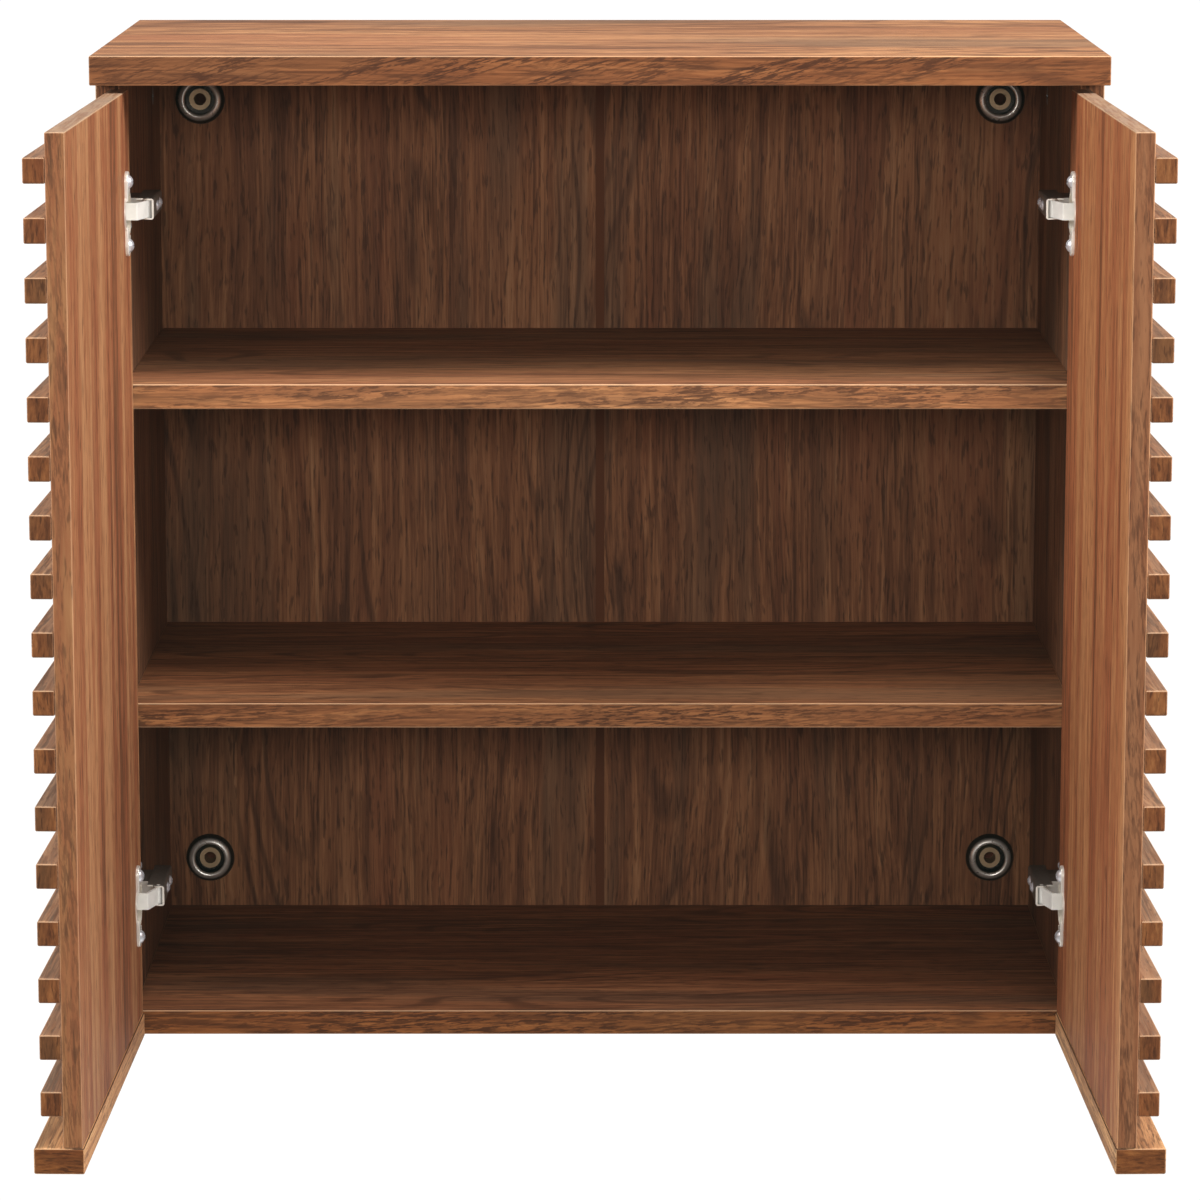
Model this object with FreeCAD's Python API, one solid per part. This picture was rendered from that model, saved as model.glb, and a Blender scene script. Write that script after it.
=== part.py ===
"""Wall-hung shoe cabinet with two slatted doors on concealed hinges, in millimetres.

The frame's origin is the centre of the four wall fixings, on the wall plane.
+X is to the right, +Y is into the wall and +Z is up. Both doors stand open at rest.
Left-hand pieces are modelled, and right-hand ones are their mirror images in the plane X = 0.
"""
import FreeCAD, Part
import math
import os

Vector = FreeCAD.Vector

# Carcass
cabinet_width = 762.0
carcass_depth = 376.0
top_overhang = 48.0
top_thickness = 22.0
side_thickness = 18.0
shelf_thickness = 19.0
interior_height = 723.0
lower_shelf_top = 263.0
upper_shelf_top = 511.0
panel_bevel = 0.7

# Back, in two halves joined by a strip of H section
back_thickness = 5.0
wall_gap = 20.0
strip_width = 7.0
strip_lip = 1.0
strip_web = 2.0
back_joint_clearance = 0.2

# Wall fixings
fixing_inset_x = 33.5
fixing_inset_z = 41.5
cup_radius = 20.4
cup_crest_radius = 14.4
cup_crest_height = 6.5
cup_recess_radius = 13.3
cup_wall = 0.9
cup_recess_depth = 12.0
cup_shoulder_inset = 1.6
cup_shoulder_rise = 0.55
cup_lip_inset = 0.35
cup_lip_rise = 0.87
sleeve_radius = 8.8
sleeve_bore_radius = 5.0
sleeve_stand_out = 1.0

# Doors
centre_gap = 2.0
door_reveal = 1.0
door_top_gap = 6.0
door_gap = 3.5
door_thickness = 14.0
rail_height = 19.0
rail_width = 36.0
rail_inner_lip = 1.0
slat_count = 17
slat_height = 18.0
slat_depth = 15.5
first_slat_drop = 17.4
slat_rounding = 1.3
rail_rounding = 1.5
door_rounding = 1.2
rest_opening_degrees = 91.4
open_door_inset = 25.4
open_door_forward = 5.0

# Concealed hinges
hinge_inset = 91.25
hinge_cup_radius = 17.5
hinge_cup_depth = 12.0
hinge_cup_wall = 0.8
cup_centre_from_edge = 21.5
cup_pivot_from_edge = 12.0
cup_pivot_depth = 5.0
arm_pivot_distance = 28.0
hinge_pin_radius = 1.5
pin_clearance = 0.05
link_half_width = 6.5
link_plate = 1.8
link_elbow_reach = 11.0
link_eye_radius = 2.5
link_knuckle_radius = 2.8
ear_inner = 6.8
ear_outer = 8.2
ear_half_length = 2.6
flange_length = 64.0
flange_width = 15.0
flange_thickness = 2.4
flange_rounding = 0.8
cup_rim_thickness = 1.2
cup_screw_spacing = 48.0
cup_screw_offset = 6.0
cup_screw_head_radius = 5.2
cup_screw_head_height = 3.4
screw_shank_radius = 2.0
screw_shank_length = 11.0
screw_recess_width = 0.9
screw_recess_share = 0.6
cheek_inner = 6.7
cheek_outer = 7.9
arm_nose_radius = 4.0
arm_web_clearance = 0.3
arm_web = 1.6
arm_height = 13.5
arm_length = 68.0
arm_rounding = 2.0
spine_start = 24.0
spine_length = 40.0
spine_half_width = 6.4
wing_from_front = 37.0
wing_radius = 8.0
wing_screw_offset = 16.0
wing_thickness = 2.2
wing_screw_head_radius = 4.0
wing_screw_head_height = 2.4
adjuster_head_radius = 4.2
adjuster_head_height = 2.2
adjuster_places = (31.0, 54.0)

# Cam fasteners that hold the flat panels to each other
cam_radius = 7.5
cam_depth = 12.5
cam_from_edge = 34.0
cam_bolt_radius = 3.5
cam_bolt_grip = 11.0
cam_slot_half_length = 5.5
cam_slot_half_width = 1.0
cam_slot_depth = 2.5
cam_places = (60.0, 290.0)

# Cutting tools reach this far past what they cut, and edges are found to within the tolerance
cutting_margin = 1.0
tolerance = 0.01

# Places worked out from the dimensions above
half_width = cabinet_width / 2
inner_half = half_width - side_thickness
fixing_x = inner_half - fixing_inset_x
fixing_z = interior_height / 2 - fixing_inset_z
floor_top = -interior_height / 2
ceiling = interior_height / 2
base = floor_top - shelf_thickness
cabinet_top = ceiling + top_thickness
front = -carcass_depth
back_rear = -wall_gap
back_front = back_rear - back_thickness
door_width = half_width - door_reveal - centre_gap / 2
door_top = ceiling - door_top_gap
rail_top = base + rail_height
slat_pitch = (door_top - first_slat_drop - rail_top) / slat_count
hinge_levels = (door_top - hinge_inset, rail_top + hinge_inset)

os.makedirs("parts", exist_ok=True)


def box(x, y, z):
    """A block that fills three (low, high) ranges."""
    size = [high - low for low, high in (x, y, z)]
    return Part.makeBox(size[0], size[1], size[2], Vector(x[0], y[0], z[0]))


def rod(start, direction, radius, length):
    return Part.makeCylinder(radius, length, Vector(*start), Vector(*direction))


def only_solid(shape):
    """The one solid that a modelling step leaves, out of the compound that wraps it."""
    solids = shape.Solids
    if len(solids) != 1:
        raise ValueError("expected one solid and got " + str(len(solids)))
    return solids[0]


def joined(shapes):
    """One solid made of several that touch or overlap."""
    return only_solid(shapes[0].multiFuse(shapes[1:]).removeSplitter())


def without(shape, tools):
    for tool in tools:
        shape = only_solid(shape.cut(tool))
    return shape


def mirrored(shape):
    return shape.mirror(Vector(0, 0, 0), Vector(1, 0, 0))


def both_sides(shapes):
    return shapes + [mirrored(shape) for shape in shapes]


def bevelled(shape, size=panel_bevel):
    return only_solid(shape.makeChamfer(size, shape.Edges))


def rounded(shape, radius):
    return only_solid(shape.makeFillet(radius, shape.Edges))


def dome_screw(head_start, direction, head_radius, head_height, shank_length):
    """A screw with a domed head that stands out against its driving direction."""
    ball = (head_radius**2 + head_height**2) / (2 * head_height)
    start = Vector(*head_start)
    inward = Vector(*direction)
    centre = start + inward * (ball - head_height)
    dome = Part.makeSphere(ball, centre)
    above = Part.makeCylinder(head_radius + cutting_margin, head_height, start, inward * -1)
    shank = Part.makeCylinder(screw_shank_radius, shank_length, start, inward)
    screw = joined([dome.common(above), shank])
    above_crown = start - inward * (head_height + cutting_margin)
    depth = cutting_margin + head_height * screw_recess_share
    return without(screw, cross_recess(above_crown, inward, head_radius, depth))


def cross_recess(place, inward, head_radius, depth):
    """Two crossed slots, sunk from above the crown of a screw's head."""
    first = inward.cross(Vector(0, 0, 1))
    second = inward.cross(first)
    half_length = head_radius * screw_recess_share
    half_width = screw_recess_width / 2
    slots = []
    for along, across in ((first, second), (second, first)):
        corner = place - along * half_length - across * half_width
        sides = [corner, corner + along * 2 * half_length]
        sides.append(sides[1] + across * screw_recess_width)
        sides.append(corner + across * screw_recess_width)
        outline = Part.makePolygon(sides + [corner])
        slots.append(Part.Face(outline).extrude(inward * depth))
    return slots


def save(name, shapes):
    shape = shapes[0] if len(shapes) == 1 else Part.makeCompound(shapes)
    count = len(shape.Solids)
    if not shape.isValid() or count != len(shapes):
        raise ValueError(name + " is not made of sound separate solids")
    shape.exportStep("parts/" + name + ".step")
    print(name, count, [round(length, 1) for length in box_size(shape)])


def box_size(shape):
    bounds = shape.BoundBox
    return bounds.XLength, bounds.YLength, bounds.ZLength


# ---- Cam fasteners ----

def cam_set(cam_face, into_panel, bolt_end, towards_cam, slot_direction):
    """A cam sunk into a panel's face, and the bolt that it draws in from the next panel."""
    cam = rod(cam_face, into_panel, cam_radius, cam_depth)
    bolt_length = cam_bolt_grip + cam_from_edge
    bolt = rod(bolt_end, towards_cam, cam_bolt_radius, bolt_length)
    slot = cam_slot(cam_face, into_panel, slot_direction)
    return cam, bolt, cam.cut(bolt).cut(slot)


def cam_slot(cam_face, into_panel, slot_direction):
    """A straight screwdriver slot across a cam's face."""
    along = Vector(*slot_direction)
    down = Vector(*into_panel)
    across = along.cross(down)
    corner = Vector(*cam_face) - along * cam_slot_half_length - across * cam_slot_half_width
    sides = [corner, corner + along * 2 * cam_slot_half_length]
    sides.append(sides[1] + across * 2 * cam_slot_half_width)
    sides.append(corner + across * 2 * cam_slot_half_width)
    outline = Part.makePolygon(sides + [corner])
    return Part.Face(outline).extrude(down * cam_slot_depth)


def left_cam_sets():
    """The cam sets of the left side panel: shelves and bottom, then the top."""
    sets = []
    for place in cam_places:
        y = front + place
        for panel_top in (floor_top, base + lower_shelf_top, base + upper_shelf_top):
            underside = panel_top - shelf_thickness
            cam_face = (-inner_half + cam_from_edge, y, underside)
            bolt_level = panel_top - shelf_thickness / 2
            bolt_end = (-inner_half - cam_bolt_grip, y, bolt_level)
            sets.append(cam_set(cam_face, (0, 0, 1), bolt_end, (1, 0, 0), (0, 1, 0)))
        cam_face = (-inner_half, y, ceiling - cam_from_edge)
        bolt_end = (-inner_half - side_thickness / 2, y, ceiling + cam_bolt_grip)
        sets.append(cam_set(cam_face, (-1, 0, 0), bolt_end, (0, 0, -1), (0, 1, 0)))
    return sets


cam_sets = left_cam_sets()
cam_bores = both_sides([cam for cam, bolt, cut_cam in cam_sets])
bolt_bores = both_sides([bolt for cam, bolt, cut_cam in cam_sets])
cam_solids = both_sides([cut_cam for cam, bolt, cut_cam in cam_sets])
all_bores = cam_bores + bolt_bores


def bored(panel):
    """The panel with each cam and bolt bore that meets it."""
    near = [bore for bore in all_bores if bore.BoundBox.intersect(panel.BoundBox)]
    return without(panel, near)


# ---- Carcass ----

def top_panel():
    depth = (front - top_overhang, 0)
    return bored(bevelled(box((-half_width, half_width), depth, (ceiling, cabinet_top))))


def left_side_panel():
    panel = bevelled(box((-half_width, -inner_half), (front, 0), (base, ceiling)))
    screw_holes = [base_screw(level, sign) for level in hinge_levels for sign in (-1, 1)]
    return without(bored(panel), screw_holes)


def level_panel(panel_top):
    depth = (front, back_front)
    height = (panel_top - shelf_thickness, panel_top)
    return bored(bevelled(box((-inner_half, inner_half), depth, height)))


def bottom_panel():
    """The bottom runs under the back and the lower mounting rail to the wall plane."""
    height = (base, floor_top)
    return bored(bevelled(box((-inner_half, inner_half), (front, 0), height)))


def left_back_panel():
    inner_edge = -strip_web / 2 - back_joint_clearance
    panel = box((-inner_half, inner_edge), (back_front, back_rear), (floor_top, ceiling))
    return without(panel, [recess_bore(-fixing_x, z) for z in (-fixing_z, fixing_z)])


def back_joiner_strip():
    """An H section: a lip on each face of the back and a web between its halves."""
    height = (floor_top, ceiling)
    lip = (-strip_width / 2, strip_width / 2)
    web = (-strip_web / 2, strip_web / 2)
    front_lip = box(lip, (back_front - strip_lip, back_front), height)
    rear_lip = box(lip, (back_rear, back_rear + strip_lip), height)
    strip = joined([front_lip, box(web, (back_front, back_rear), height), rear_lip])
    shelf_notches = []
    for shelf_top in (base + lower_shelf_top, base + upper_shelf_top):
        levels = (shelf_top - shelf_thickness, shelf_top)
        shelf_notches.append(box(lip, (back_front - strip_lip, back_front), levels))
    return without(strip, shelf_notches)


def mounting_rail(low, high):
    """A rail behind the back that the wall fixings pass through."""
    rail = box((-inner_half, inner_half), (back_rear, 0), (low, high))
    groove = box((-strip_width / 2, strip_width / 2), (back_rear, back_rear + strip_lip), (low, high))
    level = (low + high) / 2
    bores = [recess_bore(x, level) for x in (-fixing_x, fixing_x)]
    bores += [sleeve_bore(x, level) for x in (-fixing_x, fixing_x)]
    return without(rail, [groove] + bores)


# ---- Wall fixings ----

def recess_bore(x, z):
    return rod((x, back_front, z), (0, 1, 0), cup_recess_radius, cup_recess_depth)


def sleeve_bore(x, z):
    return rod((x, back_front, z), (0, 1, 0), sleeve_radius, -back_front)


def fixing_cup(x, z):
    """A turned cup: a domed rim on the back panel and a thin wall that lines the recess."""
    inner_radius = cup_recess_radius - cup_wall
    mouth = Vector(inner_radius, 0, cup_crest_height / 2)
    crest = Vector(cup_crest_radius, 0, cup_crest_height)
    shoulder = Vector(cup_radius - cup_shoulder_inset, 0, cup_crest_height * cup_shoulder_rise)
    rim = Vector(cup_radius, 0, 0)
    inner_bend = Vector(inner_radius + cup_lip_inset, 0, cup_crest_height * cup_lip_rise)
    corners = [
        rim,
        Vector(cup_recess_radius, 0, 0),
        Vector(cup_recess_radius, 0, -cup_recess_depth),
        Vector(sleeve_radius, 0, -cup_recess_depth),
        Vector(sleeve_radius, 0, cup_wall - cup_recess_depth),
        Vector(inner_radius, 0, cup_wall - cup_recess_depth),
        mouth,
    ]
    edges = [Part.LineSegment(a, b).toShape() for a, b in zip(corners, corners[1:])]
    edges.append(Part.Arc(mouth, inner_bend, crest).toShape())
    edges.append(Part.Arc(crest, shoulder, rim).toShape())
    section = Part.Face(Part.Wire(edges))
    cup = section.revolve(Vector(0, 0, 0), Vector(0, 0, 1), 360)
    cup.rotate(Vector(0, 0, 0), Vector(1, 0, 0), 90)
    cup.translate(Vector(x, back_front, z))
    return cup


def fixing_sleeve(x, z):
    """A metal sleeve that carries the wall screw through the mounting rail."""
    start = (x, back_front - sleeve_stand_out, z)
    length = sleeve_stand_out - back_front
    body = rod(start, (0, 1, 0), sleeve_radius, length)
    return body.cut(rod(start, (0, 1, 0), sleeve_bore_radius, length))


# ---- Doors, each modelled closed with its hinge-side inner corner at the origin ----
# In this door frame, x runs from the hinge edge to the free edge and -y runs outwards.

def door_panel():
    panel = rounded(box((0, door_width), (-door_thickness, 0), (rail_top, door_top)), door_rounding)
    bores = [hinge_cup_bore(level) for level in hinge_levels]
    bores += [cup_screw(level, sign) for level in hinge_levels for sign in (-1, 1)]
    return without(panel, bores)


def door_rail():
    depth = (rail_inner_lip - rail_width, rail_inner_lip)
    return rounded(box((0, door_width), depth, (base, rail_top)), rail_rounding)


def door_slat(index):
    """One slat. Slat 1 is the lowest, and all are a pitch apart from the rail up."""
    slat_top = rail_top + index * slat_pitch
    depth = (-door_thickness - slat_depth, -door_thickness)
    return rounded(box((0, door_width), depth, (slat_top - slat_height, slat_top)), slat_rounding)


def hinge_cup_bore(level):
    return rod((cup_centre_from_edge, 0, level), (0, -1, 0), hinge_cup_radius, hinge_cup_depth)


def cup_screw(level, sign):
    x = cup_centre_from_edge + cup_screw_offset
    z = level + sign * cup_screw_spacing / 2
    start = (x, flange_thickness, z)
    length = screw_shank_length
    return dome_screw(start, (0, -1, 0), cup_screw_head_radius, cup_screw_head_height, length)


def hinge_cup(level):
    """A pressed cup with a flange plate and two ears that hold the link's pin."""
    outer = hinge_cup_bore(level)
    inner_radius = hinge_cup_radius - hinge_cup_wall
    inner_depth = hinge_cup_depth - hinge_cup_wall
    through = flange_thickness + inner_depth
    inner_start = (cup_centre_from_edge, flange_thickness, level)
    hollow = rod(inner_start, (0, -1, 0), inner_radius, through)
    rim_start = (cup_centre_from_edge, 0, level)
    rim = rod(rim_start, (0, 1, 0), hinge_cup_radius + hinge_cup_wall, cup_rim_thickness)
    shell = joined([outer, rim, cup_flange(level)]).cut(hollow)
    cup = joined([shell] + [cup_ear(level, sign) for sign in (-1, 1)])
    hole_radius = hinge_pin_radius + pin_clearance
    pin_start = (cup_pivot_from_edge, -cup_pivot_depth, level - ear_outer)
    cup = cup.cut(rod(pin_start, (0, 0, 1), hole_radius, 2 * ear_outer))
    return without(cup, [cup_screw(level, sign) for sign in (-1, 1)])


def cup_flange(level):
    """The plate that the cup's screws hold down: round ends and a rounded upper edge."""
    end_radius = flange_width / 2
    half_straight = flange_length / 2 - end_radius
    centre_x = cup_centre_from_edge + cup_screw_offset
    plate_x = (centre_x - end_radius, centre_x + end_radius)
    plate_z = (level - half_straight, level + half_straight)
    pieces = [box(plate_x, (0, flange_thickness), plate_z)]
    for z in plate_z:
        pieces.append(rod((centre_x, 0, z), (0, 1, 0), end_radius, flange_thickness))
    plate = joined(pieces)
    upper_edges = [edge for edge in plate.Edges if edge.BoundBox.YMin > flange_thickness - tolerance]
    return only_solid(plate.makeFillet(flange_rounding, upper_edges))


def cup_ear(level, sign):
    """An upright plate on the cup's floor, round at its free end."""
    z_range = sorted((level + sign * ear_inner, level + sign * ear_outer))
    x_range = (cup_pivot_from_edge - ear_half_length, cup_pivot_from_edge + ear_half_length)
    post = box(x_range, (hinge_cup_wall - hinge_cup_depth, -cup_pivot_depth), z_range)
    eye_start = (cup_pivot_from_edge, -cup_pivot_depth, z_range[0])
    eye = rod(eye_start, (0, 0, 1), ear_half_length, ear_outer - ear_inner)
    return joined([post, eye])


def opened(shape):
    """A left-door shape, turned and moved from the door frame to its rest place."""
    placed = shape.copy()
    placed.rotate(Vector(0, 0, 0), Vector(0, 0, 1), -rest_opening_degrees)
    placed.translate(Vector(open_corner[0], open_corner[1], 0))
    return placed


# ---- Hinge kinematics, in plan, for the left door ----

def turned(point, degrees):
    angle = math.radians(degrees)
    x = point[0] * math.cos(angle) - point[1] * math.sin(angle)
    y = point[0] * math.sin(angle) + point[1] * math.cos(angle)
    return x, y


def shifted(point, offset):
    return point[0] + offset[0], point[1] + offset[1]


closed_corner = (-half_width + door_reveal, front - door_gap)
open_corner = (-half_width + open_door_inset, front - open_door_forward)
cup_pivot_in_door = (cup_pivot_from_edge, -cup_pivot_depth)
cup_pivot_closed = shifted(closed_corner, cup_pivot_in_door)
cup_pivot_open = shifted(open_corner, turned(cup_pivot_in_door, -rest_opening_degrees))


def arm_pivot_place():
    """The point the link turns about: as far from the open cup pivot as from the closed one."""
    travel = (cup_pivot_closed[0] - cup_pivot_open[0], cup_pivot_closed[1] - cup_pivot_open[1])
    length = math.hypot(*travel)
    middle = shifted(cup_pivot_open, (travel[0] / 2, travel[1] / 2))
    sideways = (travel[1] / length * arm_pivot_distance, -travel[0] / length * arm_pivot_distance)
    return shifted(middle, sideways)


arm_pivot = arm_pivot_place()


def heading(start, end):
    return math.degrees(math.atan2(end[1] - start[1], end[0] - start[0]))


link_travel_degrees = heading(arm_pivot, cup_pivot_closed) - heading(arm_pivot, cup_pivot_open)
door_travel_degrees = rest_opening_degrees - link_travel_degrees


# ---- Hinge pieces that stay on the carcass or turn as links ----

def plan_bar(start, end, z_range, thickness=link_plate):
    """An upright plate that runs between two plan points."""
    length = math.hypot(end[0] - start[0], end[1] - start[1])
    bar = box((0, length), (-thickness / 2, thickness / 2), z_range)
    bar.rotate(Vector(0, 0, 0), Vector(0, 0, 1), heading(start, end))
    bar.translate(Vector(start[0], start[1], 0))
    return bar


def upright(point, z_range, radius):
    return rod((point[0], point[1], z_range[0]), (0, 0, 1), radius, z_range[1] - z_range[0])


def hinge_link(level):
    """A bent link: an eye on each pin, and a plate with an elbow between them."""
    z_range = (level - link_half_width, level + link_half_width)
    elbow = shifted(cup_pivot_open, (link_elbow_reach, 0))
    pieces = [
        upright(cup_pivot_open, z_range, link_eye_radius),
        plan_bar(cup_pivot_open, elbow, z_range),
        upright(elbow, z_range, link_plate / 2),
        plan_bar(elbow, arm_pivot, z_range),
        upright(arm_pivot, z_range, link_knuckle_radius),
        upright(cup_pivot_open, (level - ear_outer, level + ear_outer), hinge_pin_radius),
        upright(arm_pivot, (level - cheek_outer, level + cheek_outer), hinge_pin_radius),
    ]
    return joined(pieces)


web_inner = arm_pivot[0] + link_knuckle_radius + arm_web_clearance
web_outer = web_inner + arm_web


def hinge_arm(level):
    """A channel-shaped arm whose nose carries the link's pin between two cheeks."""
    outer_z = (level - cheek_outer, level + cheek_outer)
    inner_z = (level - cheek_inner, level + cheek_inner)
    rear = arm_pivot[1] + arm_length
    low_x = web_outer - arm_height
    nose_front = arm_pivot[1] - arm_nose_radius
    body = box((low_x, web_outer), (arm_pivot[1], rear), outer_z)
    edges = [edge for edge in body.Edges if is_outer_corner(edge)]
    body = body.makeFillet(arm_rounding, edges)
    nose_web = box((arm_pivot[0], web_outer), (nose_front, arm_pivot[1] + arm_rounding), outer_z)
    nose_edges = [edge for edge in nose_web.Edges if is_outer_corner(edge)]
    nose_web = nose_web.makeFillet(arm_rounding, nose_edges)
    nose = upright(arm_pivot, outer_z, arm_nose_radius)
    channel_y = (nose_front - cutting_margin, rear + cutting_margin)
    channel = box((low_x - cutting_margin, web_inner), channel_y, inner_z)
    arm = joined([body, nose_web, nose]).cut(channel)
    arm = arm.cut(upright(arm_pivot, outer_z, hinge_pin_radius + pin_clearance))
    holes = [adjuster_screw(level, place) for place in adjuster_places]
    return without(arm, holes)


def is_outer_corner(edge):
    """Whether an edge runs along Y on the face that looks into the cabinet."""
    bounds = edge.BoundBox
    return bounds.XMin > web_outer - tolerance and bounds.YLength > bounds.ZLength


def adjuster_screw(level, place):
    start = (web_outer, front + place, level)
    length = arm_web + wing_thickness * 2
    return dome_screw(start, (-1, 0, 0), adjuster_head_radius, adjuster_head_height, length)


def hinge_base_plate(level):
    """A plate screwed to the side panel, with a spine that fills the arm's channel."""
    face = -inner_half
    y = front + wing_from_front
    wing_x = (face, face + wing_thickness)
    wing_y = (y - wing_radius, y + wing_radius)
    wing = box(wing_x, wing_y, (level - wing_screw_offset, level + wing_screw_offset))
    ends = []
    for sign in (-1, 1):
        start = (face, y, level + sign * wing_screw_offset)
        ends.append(rod(start, (1, 0, 0), wing_radius, wing_thickness))
    spine_y = (front + spine_start, front + spine_start + spine_length)
    spine_z = (level - spine_half_width, level + spine_half_width)
    spine = box((face, web_inner), spine_y, spine_z)
    plate = joined([wing, spine] + ends)
    screws = [base_screw(level, sign) for sign in (-1, 1)]
    screws += [adjuster_screw(level, place) for place in adjuster_places]
    return without(plate, screws)


def base_screw(level, sign):
    z = level + sign * wing_screw_offset
    start = (-inner_half + wing_thickness, front + wing_from_front, z)
    length = screw_shank_length
    return dome_screw(start, (-1, 0, 0), wing_screw_head_radius, wing_screw_head_height, length)


# ---- Writing the pieces ----

def save_carcass():
    side = left_side_panel()
    back = left_back_panel()
    save("top_panel", [top_panel()])
    save("left_side_panel", [side])
    save("right_side_panel", [mirrored(side)])
    save("bottom_panel", [bottom_panel()])
    save("upper_shelf", [level_panel(base + upper_shelf_top)])
    save("lower_shelf", [level_panel(base + lower_shelf_top)])
    save("left_back_panel", [back])
    save("right_back_panel", [mirrored(back)])
    save("back_joiner_strip", [back_joiner_strip()])
    lower_rail = mounting_rail(floor_top, floor_top + 2 * fixing_inset_z)
    upper_rail = mounting_rail(ceiling - 2 * fixing_inset_z, ceiling)
    save("mounting_rails", [lower_rail, upper_rail])
    save("cam_fasteners", cam_solids + bolt_bores)


def save_wall_fixings():
    places = [(x, z) for z in (-fixing_z, fixing_z) for x in (-fixing_x, fixing_x)]
    save("wall_fixing_cups", [fixing_cup(x, z) for x, z in places])
    save("wall_fixing_sleeves", [fixing_sleeve(x, z) for x, z in places])


def save_carcass_hinge_pieces():
    screws = []
    for level in hinge_levels:
        screws += [base_screw(level, sign) for sign in (-1, 1)]
        screws += [adjuster_screw(level, place) for place in adjuster_places]
    save("hinge_base_plates", both_sides([hinge_base_plate(level) for level in hinge_levels]))
    save("hinge_arms", both_sides([hinge_arm(level) for level in hinge_levels]))
    save("hinge_screws", both_sides(screws))


def save_pair(name, shapes):
    """The left-hand node, and its mirror image as the right-hand node."""
    save("left_" + name, shapes)
    save("right_" + name, [mirrored(shape) for shape in shapes])


def save_doors():
    cup_screws = [cup_screw(level, sign) for level in hinge_levels for sign in (-1, 1)]
    save_pair("door_panel", [opened(door_panel())])
    save_pair("door_rail", [opened(door_rail())])
    save_pair("hinge_cups", [opened(hinge_cup(level)) for level in hinge_levels])
    save_pair("cup_screws", [opened(screw) for screw in cup_screws])
    save_pair("hinge_links", [hinge_link(level) for level in hinge_levels])
    for index in range(1, slat_count + 1):
        save_pair("door_slat_%02d" % index, [opened(door_slat(index))])


save_carcass()
save_wall_fixings()
save_carcass_hinge_pieces()
save_doors()
print("arm pivot", arm_pivot, "cup pivot", cup_pivot_open)
print("link travel", link_travel_degrees, "door travel about the link", door_travel_degrees)
print("fixings", fixing_x, fixing_z, "base", base, "top", cabinet_top, "slat pitch", slat_pitch)
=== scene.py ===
"""Looks, light and camera for the shoe cabinet, in metres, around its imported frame."""
import math

import bmesh
import bpy
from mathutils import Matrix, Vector


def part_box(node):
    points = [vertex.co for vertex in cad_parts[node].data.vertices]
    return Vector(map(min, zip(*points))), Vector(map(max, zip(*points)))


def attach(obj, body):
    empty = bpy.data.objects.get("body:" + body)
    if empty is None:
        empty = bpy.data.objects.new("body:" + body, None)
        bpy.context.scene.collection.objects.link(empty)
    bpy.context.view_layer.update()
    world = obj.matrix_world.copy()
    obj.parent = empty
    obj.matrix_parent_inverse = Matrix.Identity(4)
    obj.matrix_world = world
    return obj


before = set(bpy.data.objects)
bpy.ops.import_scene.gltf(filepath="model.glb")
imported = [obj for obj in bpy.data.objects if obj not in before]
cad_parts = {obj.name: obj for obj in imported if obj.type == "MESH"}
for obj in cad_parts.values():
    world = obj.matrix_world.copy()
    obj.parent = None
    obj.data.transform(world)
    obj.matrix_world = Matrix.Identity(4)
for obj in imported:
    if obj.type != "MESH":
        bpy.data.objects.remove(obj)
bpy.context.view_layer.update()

# Places read from the frame
base_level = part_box("left_side_panel")[0].z
top_low, top_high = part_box("top_panel")
rail_inner = -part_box("left_door_rail")[1].x
cup_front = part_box("wall_fixing_cups")[0].y

right_angle = math.pi / 2
door_opening = math.radians(91.4)

# Seals in the wall fixings, as (radius, distance from the wall) points from the front round
# to the back
sleeve_radius = 0.0088
seal_segments = 40
seal_profile = [
    (0.0, -0.0048),
    (0.0030, -0.0050),
    (0.0042, -0.0060),
    (0.0047, -0.0062),
    (0.0050, -0.0058),
    (0.0050, -0.0030),
    (0.0046, -0.0026),
    (0.0030, -0.0040),
    (0.0, -0.0038),
]

# Camera: a long lens, a little above the cabinet's top
camera_distance = 3.820
camera_height = 1.033
camera_pitch = math.radians(10.10)
camera_lens = 153.4
camera_clip_end = 200

# Stage
floor_drop = 0.9
floor_radius = 3.0
floor_fade = (0.9, 2.1)
floor_segments = 96
floor_roughness = 0.9
backdrop_light = 1.05
room_light = 0.37
veiling_glare = (0.0025, 0.004, 0.0035)
shelf_nodes = ("upper_shelf", "lower_shelf", "bottom_panel")
softboxes = {
    # name: (place, size, power, the only nodes it lights, or none for all)
    "right_softbox": ((2.0, -1.15, 1.5), (1.0, 1.0), 84, ()),
    "left_softbox": ((-2.0, -1.15, 1.5), (1.0, 1.0), 58, ()),
    "overhead_softbox": ((0.0, -0.9, 2.1), (1.6, 0.8), 13, ()),
    "front_softbox": ((0.0, -4.6, 0.95), (2.4, 0.6), 50, ()),
    "shelf_softbox": ((0.75, -1.56, 2.93), (1.1, 1.1), 32, shelf_nodes),
    "upper_shelf_softbox": ((0.75, -1.56, 2.93), (1.1, 1.1), 62, ("upper_shelf",)),
}


# ---- Colours, as sRGB values from 0 to 255 ----

def srgb(red, green, blue):
    """A linear colour with alpha, from sRGB values."""
    channels = []
    for value in (red, green, blue):
        share = value / 255
        linear = share / 12.92 if share <= 0.04045 else ((share + 0.055) / 1.055) ** 2.4
        channels.append(linear)
    return (channels[0], channels[1], channels[2], 1.0)


def darkened(colour, share):
    return tuple(share * channel for channel in colour[:3]) + (1.0,)


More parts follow.
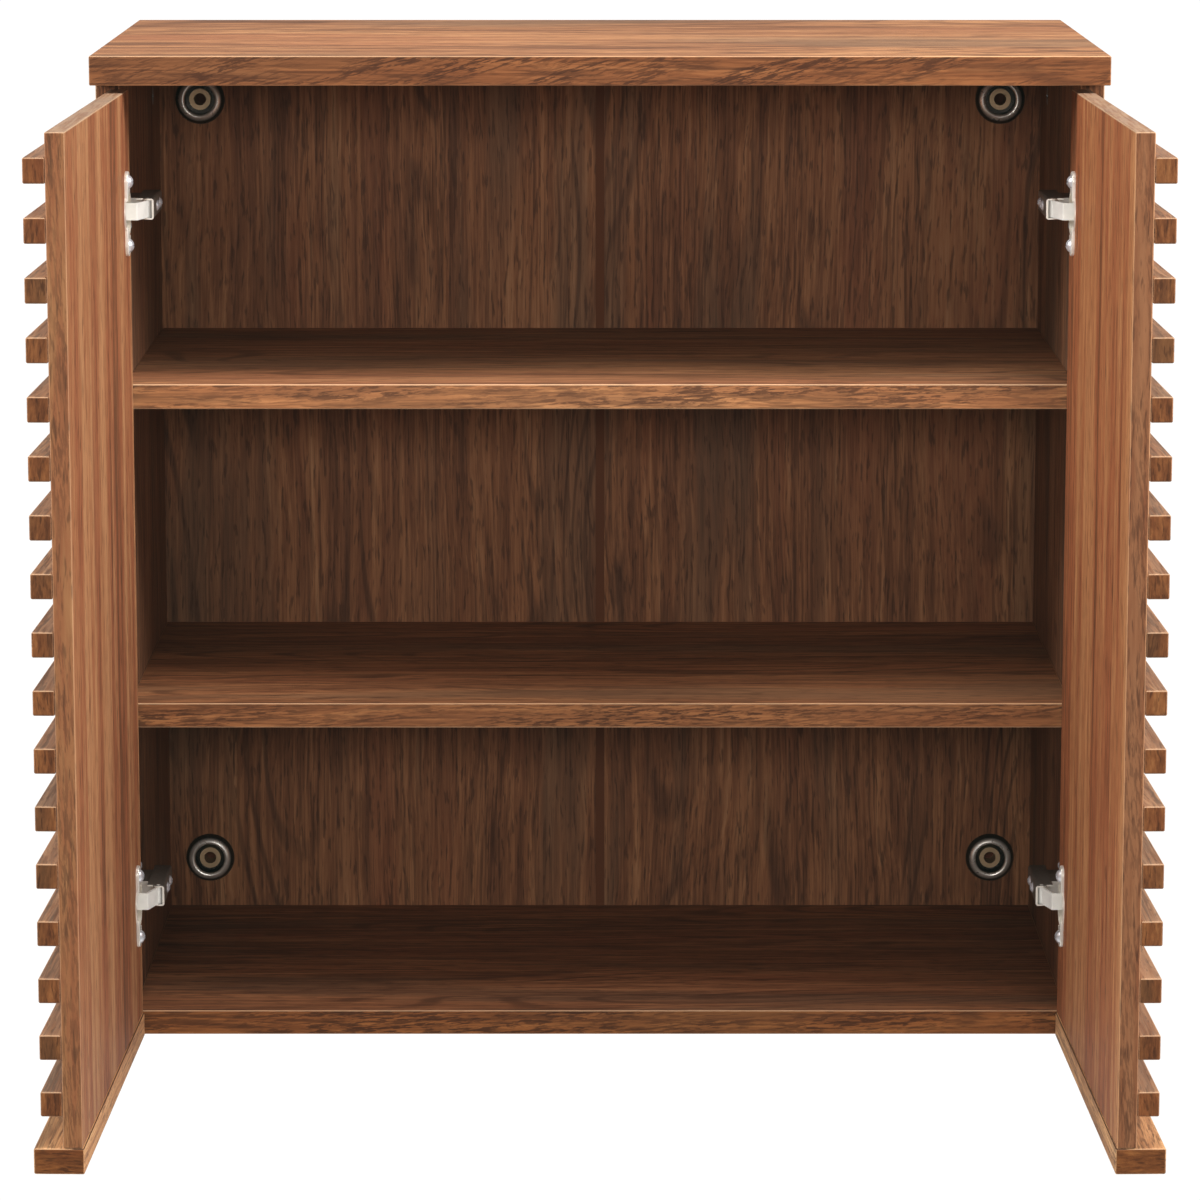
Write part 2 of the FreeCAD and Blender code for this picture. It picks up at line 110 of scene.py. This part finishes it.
walnut_darkest = srgb(76, 47, 34)
walnut_dark = srgb(108, 68, 47)
walnut_middle = srgb(141, 91, 62)
walnut_light = srgb(170, 115, 79)
walnut_pale = srgb(192, 139, 99)
# Pale colour on the bevels: painted highlight, with some rubbed paleness of the edge banding
walnut_edge_highlight = srgb(222, 182, 142)
walnut_grey = srgb(118, 90, 70)
walnut_red = srgb(156, 92, 63)
# Grey saw-cut colour for surfaces that look up, made paler as painted light from above
walnut_sawn_and_lit = srgb(152, 131, 110)
strip_brown = srgb(107, 63, 38)
seal_brown = srgb(112, 66, 46)
floor_pale = srgb(246, 246, 245)
# Chrome: a painted highlight for the cups' crests and a painted dark reflection for their slopes
# and dishes
chrome_crest_highlight = srgb(252, 246, 234)
chrome_clouded = srgb(226, 218, 204)
chrome_dark_reflection = srgb(60, 54, 48)

# The mixed grain's levels at which each colour stands
ground_stops = [
    (0.39, walnut_dark),
    (0.48, walnut_middle),
    (0.56, walnut_light),
    (0.65, walnut_pale),
]
stripe_stops = [
    (0.41, walnut_dark),
    (0.47, walnut_red),
    (0.53, walnut_light),
    (0.59, walnut_pale),
]

# ---- The grain's shapes ----

# How many noise features there are in a metre along the grain and across it
bend_scale = (1.6, 5, 5)
wobble_scale = (11, 34, 34)
band_scale = (1.6, 21, 21)
strand_scale = (4.0, 130, 130)
fibre_scale = (11, 440, 440)
pore_scale = (48, 430, 430)
hue_scale = (1.6, 19, 19)
streak_scale = (10, 430, 430)
streak_group_scale = (1.8, 27, 27)
ring_scale = (1.3, 8, 8)
ring_group_scale = (2.2, 24, 24)
broad_stripe_scale = (0.15, 17, 17)
fine_stripe_scale = (9, 90, 90)
fleck_scale = (75, 620, 620)
fleck_group_scale = (8, 75, 75)

# The same for saw marks, along the cabinet's own axes
sawn_scale = (380, 16, 16)

# The noise levels from which and up to which a feature fades in
grey_levels = (0.52, 0.68)
red_levels = (0.47, 0.32)
pore_levels = (0.55, 0.67)
streak_levels = (0.51, 0.61)
streak_group_levels = (0.36, 0.60)
ring_levels = (0.40, 1.0)
ring_group_levels = (0.46, 0.66)
fleck_levels = (0.46, 0.57)
fleck_group_levels = (0.30, 0.60)
sawn_levels = (0.42, 0.66)
polish_levels = (0.3, 0.7)

# How strongly each feature shows
band_weight = 0.22
strand_weight = 0.38
fibre_weight = 0.40
broad_stripe_weight = 0.7
fine_stripe_weight = 0.3
grey_strength = 0.55
red_strength = 0.35
pore_strength = 0.6
ring_strength = 0.6
sawn_strength = 0.8
fleck_calm = 0.15
end_streak_strength = 0.3

# Distances and angles
piece_offset = 37.0
grain_bend = 0.035
grain_wobble = 0.005
ring_waves = 150.0
slight_slant = math.radians(4)
steep_slant = math.radians(15)
# How far from the middle the painted shadow along the rails' upper inner edge reaches
seam_shadow_reach = (rail_inner + 0.020, rail_inner + 0.016)

# Parts of a surface's normal, from where a direction starts to count to where it counts in full
bevel_range = (0.97, 0.80)
front_range = (0.80, 0.97)
metal_front_range = (0.35, 0.70)
upward_range = (0.2, 0.6)

# ---- The materials' finish ----

dull_specular = 0.15
wood_roughness = (0.64, 0.52)
pore_depth = 0.8
wood_bump = (0.35, 0.00025)

mottle_scale = (70, 70, 70)
mottle_levels = (0.35, 0.75)
mottle_shade = 0.86
polish_scale = (260, 260, 260)
metal_wear = 0.06
metal_bump = (0.08, 0.00005)

# How deep the painted highlight reaches down from the cups' crests
crest_depth = 0.0024
chrome_scale = (90, 90, 90)
chrome_roughness = (0.26, 0.32)
chrome_metallic = 0.65
chrome_bump = (0.05, 0.00005)

paint_scale = (60, 60, 9)
paint_shade = 0.8
paint_roughness = (0.6, 0.68)
paint_bump = (0.1, 0.0001)

# ---- Wood and metal of each piece ----

# The grain's direction, as the turn that brings it along x
along_x = (0, 0, 0)
along_z = (0, right_angle, 0)
slat_turns = {"left": (0, 0, door_opening), "right": (0, 0, math.pi - door_opening)}

# The face and end tones below are partly each piece's own colour and partly painted light and
# shade, set piece by piece: paler where light falls, as on the top's face and the upper shelf's
# front, darker where shade falls, as on the top's front and the bottom panel.
back_tone = (0.84, 0.85, 0.79)
board_looks = {
    # material: (nodes, grain direction, what differs from walnut's plain settings)
    "walnut_top": (["top_panel"], along_x, {
        "seed": 3.1, "face": (1.19, 1.28, 1.22), "end": (0.67, 0.57, 0.42),
        "edges": (0.35, 0.05), "breadth": 3.2, "slant": steep_slant,
    }),
    "walnut_upper_shelf": (["upper_shelf"], along_x, {
        "seed": 5.3, "face": (0.97, 1.06, 1.05), "end": (1.22, 1.3, 1.12), "edges": (0.6, 0.45),
    }),
    "walnut_lower_shelf": (["lower_shelf"], along_x, {
        "seed": 8.7, "face": (0.98, 0.98, 0.9), "end": (0.9, 0.86, 0.69), "edges": (0.6, 0.45),
    }),
    "walnut_bottom": (["bottom_panel"], along_x, {
        "seed": 11.9, "face": (0.79, 0.75, 0.71), "end": (0.76, 0.63, 0.38),
        "edges": (0.55, 0.2),
    }),
    "walnut_sides": (["left_side_panel", "right_side_panel"], along_z, {
        "seed": 2.4, "face": (0.88, 1.02, 1.12), "end": (0.7, 0.65, 0.55),
    }),
    "walnut_back": (["left_back_panel", "right_back_panel"], along_z, {
        "seed": 6.2, "face": back_tone, "end": back_tone, "edges": (0.0, 0.0), "flecks": 0,
        "streaks": 0.5,
    }),
    "walnut_mounting_rails": (["mounting_rails"], along_x, {"seed": 1.7}),
}
# The door tops' crown is painted paler and greyer, partly as painted light from above; the edges
# carry painted highlight.
door_looks = {"seed": 9.5, "stripes": 0.8, "edges": (0.4, 0.3), "flecks": 0.45, "crown": 0.7}
door_tones = {
    # side: (inner and outer faces, edges); the two doors differ partly as painted light and shade
    "left": ((0.87, 0.85, 0.80), (0.91, 0.94, 0.83)),
    "right": ((0.95, 0.88, 0.75), (0.64, 0.57, 0.52)),
}
# The slats' faces are painted paler, and their tops get a paler grey crown, partly as painted light
# from above.
slat_looks = {
    "seed": 4.4, "face": (1.15, 1.28, 1.34), "end": (0.64, 0.54, 0.37), "edges": (0.4, 0.1),
    "flecks": 0, "cut_stretch": (1, 5), "crown": 0.35,
}
# The rails' faces are painted much paler as painted light thrown up from below, and a painted
# shadow runs along their upper inner edge.
rail_looks = {
    "seed": 7.7, "face": (1.65, 2.08, 2.02), "end": (0.65, 0.53, 0.31), "edges": (0.3, 0.05),
    "flecks": 0, "cut_stretch": (5, 1), "seam_shadow": True,
}
metal_looks = {
    # material: (nodes, colour, roughness, how metallic, colour of painted shade where the piece
    # faces neither front nor rear, or none)
    "hinge_nickel": (
        ["left_hinge_cups", "right_hinge_cups"], srgb(252, 246, 234), 0.3, 0.5, None),
    # The arms' darker second colour is painted shade where they face neither front nor rear.
    "arm_nickel": (
        ["hinge_arms", "hinge_base_plates"],
        srgb(255, 250, 238), 0.34, 0.55, srgb(112, 104, 96)),
    "link_nickel": (
        ["left_hinge_links", "right_hinge_links"], srgb(255, 252, 244), 0.28, 0.15, None),
    "screw_steel": (
        ["hinge_screws", "left_cup_screws", "right_cup_screws"],
        srgb(226, 226, 230), 0.3, 0.6, None),
    "zinc_sleeve": (["wall_fixing_sleeves"], srgb(196, 168, 130), 0.38, 0.6, None),
    "cam_zinc": (["cam_fasteners"], srgb(150, 150, 148), 0.42, 1.0, None),
}


# ---- Shader building ----

class Shader:
    """One material's node tree, built a node at a time."""

    def __init__(self, name):
        self.material = bpy.data.materials.new(name)
        self.material.use_nodes = True
        self.nodes = self.material.node_tree.nodes
        self.links = self.material.node_tree.links
        self.surface = self.nodes["Principled BSDF"]

    def node(self, kind, inputs=None, **settings):
        made = self.nodes.new("ShaderNode" + kind)
        for setting, value in settings.items():
            setattr(made, setting, value)
        for key, value in (inputs or {}).items():
            self.feed(made.inputs[key], value)
        return made

    def feed(self, socket, value):
        """Links an output to a socket, or sets the socket's own value."""
        if isinstance(value, bpy.types.NodeSocket):
            self.links.new(value, socket)
        else:
            socket.default_value = value

    def set(self, **values):
        for name, value in values.items():
            self.feed(self.surface.inputs[name.replace("_", " ").title()], value)

    def math(self, operation, first, second=0.0):
        return self.node("Math", {0: first, 1: second}, operation=operation).outputs[0]

    def weighted_sum(self, *terms):
        """The sum of (value, weight) pairs."""
        total = None
        for value, weight in terms:
            term = self.math("MULTIPLY", value, weight)
            total = term if total is None else self.math("ADD", total, term)
        return total

    def mapped(self, vector, scale=(1, 1, 1), turn=(0, 0, 0)):
        inputs = {"Vector": vector, "Scale": scale, "Rotation": turn}
        return self.node("Mapping", inputs).outputs[0]

    def noise(self, vector, scale, detail=2.0, roughness=0.5):
        inputs = {"Vector": self.mapped(vector, scale), "Scale": 1.0}
        inputs.update({"Detail": detail, "Roughness": roughness})
        return self.node("TexNoise", inputs).outputs["Fac"]

    def spread(self, value, low, high, new_low=0.0, new_high=1.0):
        """Value, from low..high to new_low..new_high, smoothly and clamped."""
        inputs = {"Value": value, "From Min": low, "From Max": high}
        inputs.update({"To Min": new_low, "To Max": new_high})
        made = self.node("MapRange", inputs, interpolation_type="SMOOTHSTEP")
        return made.outputs[0]

    def ramp(self, value, stops):
        made = self.node("ValToRGB", {"Fac": value})
        elements = made.color_ramp.elements
        while len(elements) < len(stops):
            elements.new(0.5)
        for element, (position, colour) in zip(elements, stops):
            element.position = position
            element.color = colour
        return made.outputs["Color"]

    def mix(self, share, first, second, blend="MIX"):
        made = self.node("Mix", data_type="RGBA", blend_type=blend)
        self.feed(made.inputs["Factor"], share)
        self.feed(made.inputs[6], first)
        self.feed(made.inputs[7], second)
        return made.outputs[2]

    def bump(self, height, strength, distance):
        inputs = {"Height": height, "Strength": strength, "Distance": distance}
        self.feed(self.surface.inputs["Normal"], self.node("Bump", inputs).outputs[0])


def object_point(shader):
    return shader.node("TexCoord").outputs["Object"]


def split(shader, vector):
    return shader.node("SeparateXYZ", {0: vector}).outputs


def normal_parts(shader):
    return split(shader, shader.node("TexCoord").outputs["Normal"])


def facing_up(shader):
    """How much a surface looks up, as the bevels along a panel's upper edges do."""
    return shader.spread(normal_parts(shader)[2], *upward_range)


def facing_front(shader, front=front_range):
    """How much a surface faces the front or rear at rest, as edge bands and end grain do."""
    return shader.spread(shader.math("ABSOLUTE", normal_parts(shader)[1]), *front)


def edge_share(shader):
    """How much a point lies on a bevel or rounding between two flat faces."""
    normal = shader.node("TexCoord").outputs["Normal"]
    size = shader.node("VectorMath", {0: normal}, operation="ABSOLUTE").outputs[0]
    parts = split(shader, size)
    widest = shader.math("MAXIMUM", shader.math("MAXIMUM", parts[0], parts[1]), parts[2])
    return shader.spread(widest, *bevel_range)


# ---- Walnut ----

def grain_point(shader, turn, seed):
    """A point in the grain's own frame: x along the grain, with each piece cut elsewhere."""
    piece = shader.node("ObjectInfo").outputs["Random"]
    elsewhere = shader.math("MULTIPLY_ADD", piece, piece_offset)
    elsewhere.node.inputs[2].default_value = seed
    parts = split(shader, shader.mapped(object_point(shader), turn=turn))
    along = shader.math("ADD", parts[0], elsewhere)
    across = shader.math("ADD", parts[1], elsewhere)
    return shader.node("CombineXYZ", {0: along, 1: across, 2: parts[2]}).outputs[0]


def bent_grain(shader, point, breadth, cut_share, cut_stretch):
    """The grain's frame with slow bends across it, so that lines wander.

    A breadth over 1 widens the lines of the broad faces. Where the end grain shows (cut
    share), it is stretched across and upwards by the cut stretch.
    """
    slow = shader.math("SUBTRACT", shader.noise(point, bend_scale), 0.5)
    quick = shader.math("SUBTRACT", shader.noise(point, wobble_scale), 0.5)
    bend = shader.weighted_sum((slow, grain_bend), (quick, grain_wobble))
    parts = split(shader, point)
    across = shader.math("DIVIDE", shader.math("ADD", parts[1], bend), breadth)
    across_stretch = shader.spread(cut_share, 0.0, 1.0, 1.0, cut_stretch[0])
    across = shader.math("DIVIDE", across, across_stretch)
    upward_stretch = shader.spread(cut_share, 0.0, 1.0, 1.0, cut_stretch[1])
    upward = shader.math("DIVIDE", shader.math("ADD", parts[2], bend), upward_stretch)
    return shader.node("CombineXYZ", {0: parts[0], 1: across, 2: upward}).outputs[0]


def ground_colour(shader, flow, fibres):
    """Soft bands, strands and fibres, from dark to pale brown, with greyer and redder zones."""
    bands = shader.noise(flow, band_scale, detail=3)
    strands = shader.noise(flow, strand_scale, detail=3, roughness=0.6)
    mixed = shader.weighted_sum(
        (bands, band_weight), (strands, strand_weight), (fibres, fibre_weight))
    colour = shader.ramp(mixed, ground_stops)
    hue = shader.noise(flow, hue_scale, detail=3)
    colour = shader.mix(shader.spread(hue, *grey_levels, 0.0, grey_strength), colour, walnut_grey)
    return shader.mix(shader.spread(hue, *red_levels, 0.0, red_strength), colour, walnut_red)


def with_streaks(shader, colour, flow, cut_share, strength):
    """Long thin dark streaks that come in groups, with their own strength in the end grain."""
    streaks = shader.spread(shader.noise(flow, streak_scale), *streak_levels)
    groups = shader.spread(shader.noise(flow, streak_group_scale), *streak_group_levels)
    share = shader.math("MULTIPLY", streaks, groups)
    fading = shader.spread(cut_share, 0.0, 1.0, strength, end_streak_strength)
    return shader.mix(shader.math("MULTIPLY", share, fading), colour, walnut_darkest)


def with_growth_lines(shader, colour, flow):
    """Fine growth lines that close into long ovals here and there."""
    rings = shader.noise(flow, ring_scale, detail=1)
    wave = shader.math("SINE", shader.math("MULTIPLY", rings, ring_waves))
    groups = shader.spread(shader.noise(flow, ring_group_scale), *ring_group_levels)
    share = shader.math("MULTIPLY", shader.spread(wave, *ring_levels), groups)
    return shader.mix(shader.math("MULTIPLY", share, ring_strength), colour, walnut_darkest)


def with_stripes(shader, colour, point, stripes):
    """The straight red, tan and pale stripes of quarter-cut veneer."""
    broad = shader.noise(point, broad_stripe_scale, detail=5, roughness=0.75)
    fine = shader.noise(point, fine_stripe_scale, detail=3, roughness=0.7)
    mixed = shader.weighted_sum((broad, broad_stripe_weight), (fine, fine_stripe_weight))
    return shader.mix(stripes, colour, shader.ramp(mixed, stripe_stops))


def with_flecks(shader, colour, point, front_share, slant, strength):
    """Short slanting strokes where an edge band is cut across the figure."""
    slanted = shader.mapped(point, turn=(0, slant, 0))
    strokes = shader.noise(slanted, fleck_scale, detail=3, roughness=0.65)
    groups = shader.noise(slanted, fleck_group_scale, detail=3)
    share = shader.math(
        "MULTIPLY",
        shader.spread(strokes, *fleck_levels),
        shader.spread(groups, *fleck_group_levels))
    share = shader.math("MULTIPLY", share, front_share)
    calm_share = shader.math("MULTIPLY", front_share, fleck_calm)
    calmer = shader.mix(calm_share, colour, walnut_light)
    return shader.mix(shader.math("MULTIPLY", share, strength), calmer, walnut_darkest)


def with_sawn_and_lit_crown(shader, colour, crown):
    """Grey saw-cut wood on the surfaces that look up, paler there as painted light from above."""
    strands = shader.noise(object_point(shader), sawn_scale, detail=3)
    grey_share = shader.spread(strands, *sawn_levels, 0.0, sawn_strength)
    sawn_and_lit = shader.mix(grey_share, walnut_sawn_and_lit, walnut_grey)
    return shader.mix(shader.math("MULTIPLY", facing_up(shader), crown), colour, sawn_and_lit)


def inner_seam_shadow(shader):
    """Painted shadow along the upper inner edge of a door's rail, where the rail meets the door."""
    from_middle = shader.math("ABSOLUTE", split(shader, object_point(shader))[0])
    share = shader.math("MULTIPLY", shader.spread(from_middle, *seam_shadow_reach), facing_up(shader))
    return shader.math("MULTIPLY", share, edge_share(shader))


def walnut(name, turn, seed, face=(1, 1, 1), end=(1, 1, 1), stripes=0.0, streaks=0.65,
           edges=(0.5, 0.5), breadth=1.0, slant=slight_slant, flecks=0.85,
           cut_stretch=None, crown=0.0, seam_shadow=False):
    """Walnut with its grain along x of the turned frame, cut where the seed says.

    Face and end scale the colour of faces, and of surfaces to the front or rear; these scales are
    partly the piece's own colour and partly painted light and shade.
    Stripes is how much straight striped figure there is. Wood without it has dark streaks,
    as strong as streaks says.
    Edges are how strong the painted highlight is on the upper edges and on the other edges.
    Breadth over 1 widens the lines of the faces.
    Flecks is how strong the strokes in front surfaces are, and slant is their slope.
    Cut stretch is for pieces with end grain to the front: how far the grain is stretched
    there, across and upwards. They have no growth lines.
    Crown is how much surfaces that look up get grey saw-cut colour, paler there as painted light
    from above.
    Seam shadow draws a painted shadow, a dark line along the upper inner edge.
    """
    shader = Shader(name)
    point = grain_point(shader, turn, seed)
    front_share = facing_front(shader)
    cut_share = front_share if cut_stretch else 0.0
    flow = bent_grain(shader, point, breadth, cut_share, cut_stretch or (1, 1))
    fine_flow = shader.mapped(flow, (1, breadth, 1))
    fibres = shader.noise(fine_flow, fibre_scale, detail=4, roughness=0.72)
    colour = ground_colour(shader, flow, fibres)
    if not cut_stretch:
        colour = with_growth_lines(shader, colour, flow)
    if stripes:
        colour = with_stripes(shader, colour, point, stripes)
    else:
        colour = with_streaks(shader, colour, flow, cut_share, streaks)
    pores = shader.noise(fine_flow, pore_scale)
    pore_share = shader.spread(pores, *pore_levels, 0.0, pore_strength)
    colour = shader.mix(pore_share, colour, walnut_darkest)
    if flecks:
        colour = with_flecks(shader, colour, point, front_share, slant, flecks)

    # Each piece's tones, partly painted light and shade.
    tones = shader.mix(front_share, face + (1.0,), end + (1.0,))
    shaded = shader.mix(1.0, colour, tones, blend="MULTIPLY")
    # Upward surfaces painted grey and paler, partly as painted light from above.
    if crown:
        shaded = with_sawn_and_lit_crown(shader, shaded, crown)
    # Bevels are painted paler as painted highlight, stronger on the bevels that look up.
    pale = shader.spread(facing_up(shader), 0.0, 1.0, edges[1], edges[0])
    wear_and_highlight = shader.math("MULTIPLY", edge_share(shader), pale)
    finished = shader.mix(wear_and_highlight, shaded, walnut_edge_highlight)
    # Painted shadow along the rail's upper inner edge, where it meets the door.
    if seam_shadow:
        finished = shader.mix(inner_seam_shadow(shader), finished, walnut_darkest)
    shader.set(base_color=finished)
    shader.set(roughness=shader.spread(fibres, *polish_levels, *wood_roughness))
    shader.surface.inputs["Specular IOR Level"].default_value = dull_specular
    relief = shader.math("SUBTRACT", fibres, shader.math("MULTIPLY", pore_share, pore_depth))
    shader.bump(relief, *wood_bump)
    return shader.material


# ---- Metal and plastic ----

def metal(name, colour, roughness, metallic, shaded_sides):
    """Plated metal, faintly mottled in colour and polish, with painted shade in another colour
    where it faces neither front nor rear.
    """
    shader = Shader(name)
    point = object_point(shader)
    mottle = shader.spread(shader.noise(point, mottle_scale), *mottle_levels)
    mottled = shader.mix(mottle, colour, darkened(colour, mottle_shade))
    # Painted shade where the metal faces neither front nor rear.
    if shaded_sides:
        mottled = shader.mix(facing_front(shader, metal_front_range), shaded_sides, mottled)
    shader.set(base_color=mottled)
    polish = shader.noise(point, polish_scale)
    wear_and_highlight = roughness + metal_wear
    shader.set(roughness=shader.spread(polish, *polish_levels, roughness, wear_and_highlight))
    shader.surface.inputs["Metallic"].default_value = metallic
    shader.bump(polish, *metal_bump)
    return shader.material


def chrome_ring(name):
    """Chrome with a painted highlight on the ring's crest, and painted dark reflection down its
    slopes and in its dish.
    """
    shader = Shader(name)
    level = split(shader, object_point(shader))[1]
    # Painted highlight on the crest, painted dark reflection below it.
    crest = shader.spread(level, cup_front + crest_depth, cup_front)
    cloud = shader.noise(object_point(shader), chrome_scale)
    highlight_colour = shader.mix(shader.spread(cloud, *mottle_levels), chrome_crest_highlight, chrome_clouded)
    shader.set(base_color=shader.mix(crest, chrome_dark_reflection, highlight_colour))
    shader.set(roughness=shader.spread(cloud, *polish_levels, *chrome_roughness))
    shader.surface.inputs["Metallic"].default_value = chrome_metallic
    shader.bump(cloud, *chrome_bump)
    return shader.material


def painted(name, colour):
    """A smooth coloured surface with faint mottling."""
    shader = Shader(name)
    cloud = shader.noise(object_point(shader), paint_scale, detail=3)
    shader.set(base_color=shader.mix(cloud, darkened(colour, paint_shade), colour))
    shader.set(roughness=shader.spread(cloud, *polish_levels, *paint_roughness))
    shader.surface.inputs["Specular IOR Level"].default_value = dull_specular
    shader.bump(cloud, *paint_bump)
    return shader.material


# ---- Painting the frame's nodes ----

def paint(names, material):
    """Gives CAD nodes, by name, one material each all over."""
    for name in names:
        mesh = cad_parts[name].data
        mesh.materials.clear()
        mesh.materials.append(material)


def paint_wood():
    for name, (nodes, turn, looks) in board_looks.items():
        paint(nodes, walnut(name, turn, **looks))
    for side, (face, end) in door_tones.items():
        door = walnut("walnut_door_" + side, along_z, face=face, end=end, **door_looks)
        paint([side + "_door_panel"], door)
    for side, turn in slat_turns.items():
        marked = side + "_door_slat_"
        slats = [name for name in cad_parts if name.startswith(marked)]
        paint(slats, walnut("walnut_slats_" + side, turn, **slat_looks))
        paint([side + "_door_rail"], walnut("walnut_rail_" + side, turn, **rail_looks))
    paint(["back_joiner_strip"], painted("joiner_strip", strip_brown))


def paint_metal():
    for name, (nodes, colour, roughness, metallic, shaded_sides) in metal_looks.items():
        paint(nodes, metal(name, colour, roughness, metallic, shaded_sides))
    paint(["wall_fixing_cups"], chrome_ring("chrome_cup"))


# ---- Plastic seals inside the wall fixings, which close the sleeves' bores ----

def turned_mesh(name, profile):
    """A mesh turned about Y from (radius, y) points, closed where the radius is nought."""
    mesh = bpy.data.meshes.new(name)
    form = bmesh.new()
    angles = [2 * math.pi * step / seal_segments for step in range(seal_segments)]
    rings = []
    for radius, level in profile:
        if radius == 0:
            rings.append([form.verts.new((0, level, 0))])
            continue
        ring = [(radius * math.cos(angle), level, radius * math.sin(angle)) for angle in angles]
        rings.append([form.verts.new(point) for point in ring])
    for inner, outer in zip(rings, rings[1:]):
        for step in range(seal_segments):
            following = (step + 1) % seal_segments
            corners = [inner[step % len(inner)], inner[following % len(inner)]]
            corners += [outer[following % len(outer)], outer[step % len(outer)]]
            form.faces.new(list(dict.fromkeys(corners)))
    bmesh.ops.recalc_face_normals(form, faces=form.faces)
    form.to_mesh(mesh)
    form.free()
    mesh.shade_smooth()
    return mesh


def add_seals():
    """A dished plastic disc with a rolled rim, deep in each sleeve, that the wall screw pierces."""
    low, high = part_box("wall_fixing_sleeves")
    mesh = turned_mesh("fixing_seal", seal_profile)
    mesh.materials.append(painted("seal_plastic", seal_brown))
    for x in (low.x + sleeve_radius, high.x - sleeve_radius):
        for z in (low.z + sleeve_radius, high.z - sleeve_radius):
            side = "left" if x < 0 else "right"
            height = "lower" if z < 0 else "upper"
            seal = bpy.data.objects.new(height + "_" + side + "_fixing_seal", mesh)
            seal.location = (x, high.y, z)
            bpy.context.scene.collection.objects.link(seal)
            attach(seal, "carcass")


# ---- Stage, light and camera ----

def add_floor():
    """A pale disc under the cabinet, which fades out towards its rim."""
    mesh = bpy.data.meshes.new("floor")
    ring = []
    for step in range(floor_segments):
        angle = 2 * math.pi * step / floor_segments
        ring.append((floor_radius * math.cos(angle), floor_radius * math.sin(angle), 0))
    mesh.from_pydata(ring, [], [list(range(floor_segments))])
    floor = bpy.data.objects.new("floor", mesh)
    floor.location.z = base_level - floor_drop
    bpy.context.scene.collection.objects.link(floor)
    shader = Shader("floor_pale")
    shader.set(base_color=floor_pale, roughness=floor_roughness)
    point = object_point(shader)
    distance = shader.node("VectorMath", {0: point}, operation="LENGTH").outputs["Value"]
    faded = shader.spread(distance, *floor_fade)
    clear = shader.node("BsdfTransparent").outputs[0]
    surface = shader.surface.outputs[0]
    blend = shader.node("MixShader", {0: faded, 1: surface, 2: clear}).outputs[0]
    shader.links.new(blend, shader.nodes["Material Output"].inputs["Surface"])
    mesh.materials.append(shader.material)


def add_world():
    """A white backdrop, and a dimmer even room that lights the cabinet."""
    world = bpy.data.worlds.new("studio")
    world.use_nodes = True
    nodes = world.node_tree.nodes
    links = world.node_tree.links
    seen = nodes.new("ShaderNodeLightPath").outputs["Is Camera Ray"]
    strength = nodes.new("ShaderNodeMapRange")
    strength.inputs["To Min"].default_value = room_light
    strength.inputs["To Max"].default_value = backdrop_light
    links.new(seen, strength.inputs["Value"])
    links.new(strength.outputs[0], nodes["Background"].inputs["Strength"])
    nodes["Background"].inputs["Color"].default_value = (1.0, 1.0, 1.0, 1.0)
    bpy.context.scene.world = world


def add_softbox(name, place, size, power, receivers):
    """A rectangular light that faces the cabinet's top, and may light a few nodes only."""
    data = bpy.data.lights.new(name, "AREA")
    data.shape = "RECTANGLE"
    data.size, data.size_y = size
    data.energy = power
    light = bpy.data.objects.new(name, data)
    light.location = place
    towards = (top_low + top_high) / 2 - Vector(place)
    light.rotation_euler = towards.to_track_quat("-Z", "Y").to_euler()
    bpy.context.scene.collection.objects.link(light)
    if receivers:
        lit = bpy.data.collections.new(name + "_receivers")
        for node in receivers:
            lit.objects.link(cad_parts[node])
        light.light_linking.receiver_collection = lit


def add_veiling_glare():
    """The faint haze that a lens adds, as a small lift of the darkest tones."""
    settings = bpy.context.scene.view_settings
    settings.use_curve_mapping = True
    settings.curve_mapping.black_level = [-lift for lift in veiling_glare]
    settings.curve_mapping.update()


def add_camera():
    data = bpy.data.cameras.new("camera")
    data.lens = camera_lens
    data.clip_end = camera_clip_end
    camera = bpy.data.objects.new("camera", data)
    camera.location = (0.0, top_low.y - camera_distance, base_level + camera_height)
    camera.rotation_euler = (right_angle - camera_pitch, 0, 0)
    bpy.context.scene.collection.objects.link(camera)
    bpy.context.scene.camera = camera


paint_wood()
paint_metal()
add_seals()
add_floor()
add_world()
for softbox_name, softbox_values in softboxes.items():
    add_softbox(softbox_name, *softbox_values)
add_camera()
bpy.context.scene.view_settings.view_transform = "Standard"
add_veiling_glare()
